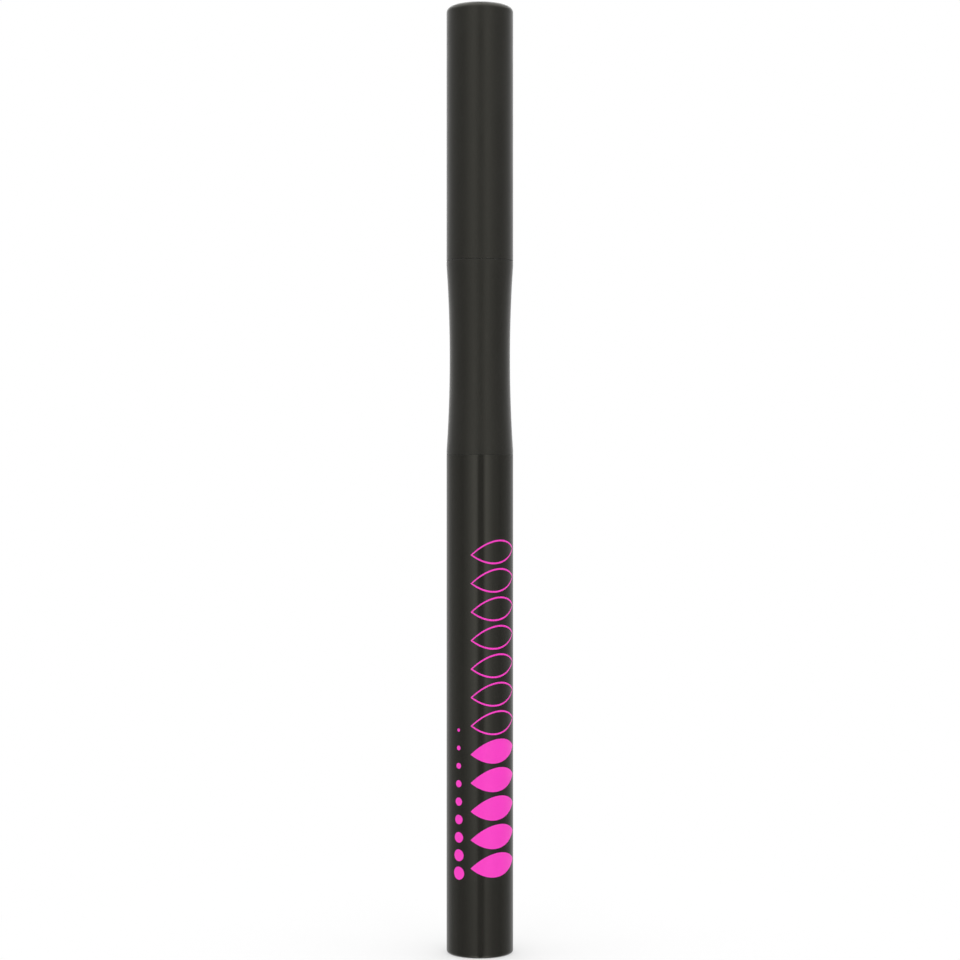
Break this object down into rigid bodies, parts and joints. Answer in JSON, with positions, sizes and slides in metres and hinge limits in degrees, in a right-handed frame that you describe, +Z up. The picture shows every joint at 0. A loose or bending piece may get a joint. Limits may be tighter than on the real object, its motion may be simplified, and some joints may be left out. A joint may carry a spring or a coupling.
{
  "type": "liquid eyeliner pen",
  "caption": "Slim round liquid eyeliner pen with a pull-off snap cap, a waisted grip and a straight barrel, with a brush tip, finned ink collector and ink tank inside.",
  "frame": {"origin": "centre of the flat foot of the barrel, on the surface that the pen stands on", "axes": "+Z up the pen's axis from the barrel's foot to the cap; +X along the collector's ink slit; the print faces -Y"},
  "size_m": [0.0098, 0.0098, 0.1391],
  "materials": {
    "satin_black": "satin, fine moulded texture",
    "gloss_black": "gloss",
    "print_pink": "screen-printed ink film",
    "nose_black": "satin",
    "natural_pe": "translucent, unpigmented",
    "collector_white": "fine matt",
    "acetal_white": "satin",
    "fibre": "bundled fibre",
    "filament_black": "inked filaments",
    "seal_rubber": "matt",
    "ball_steel": "ground and polished"
  },
  "bodies": {
    "pen_body": {"barrel": "gloss_black", "ink_tank": "natural_pe", "tank_gasket": "seal_rubber", "collector": "collector_white", "feed_rod": "fibre", "grip_section": "satin_black", "nose_cone": "nose_black", "brush_ferrule": "acetal_white", "brush_tip": "filament_black"},
    "cap": {"cap_shell": "satin_black", "inner_cap": "natural_pe"},
    "first_ball": {"mixing_ball_1": "ball_steel"},
    "second_ball": {"mixing_ball_2": "ball_steel"}
  },
  "joints": [
    {"name": "cap_pull", "type": "slide", "parent": "pen_body", "child": "cap", "axis": [0, 0, 1], "range_m": [0, 0.033]},
    {"name": "first_ball_rattle", "type": "slide", "parent": "pen_body", "child": "first_ball", "axis": [0, 0, 1], "range_m": [0, 0.0483]},
    {"name": "second_ball_rattle", "type": "slide", "parent": "pen_body", "child": "second_ball", "axis": [0, 0, 1], "range_m": [0, 0.0483]}
  ]
}
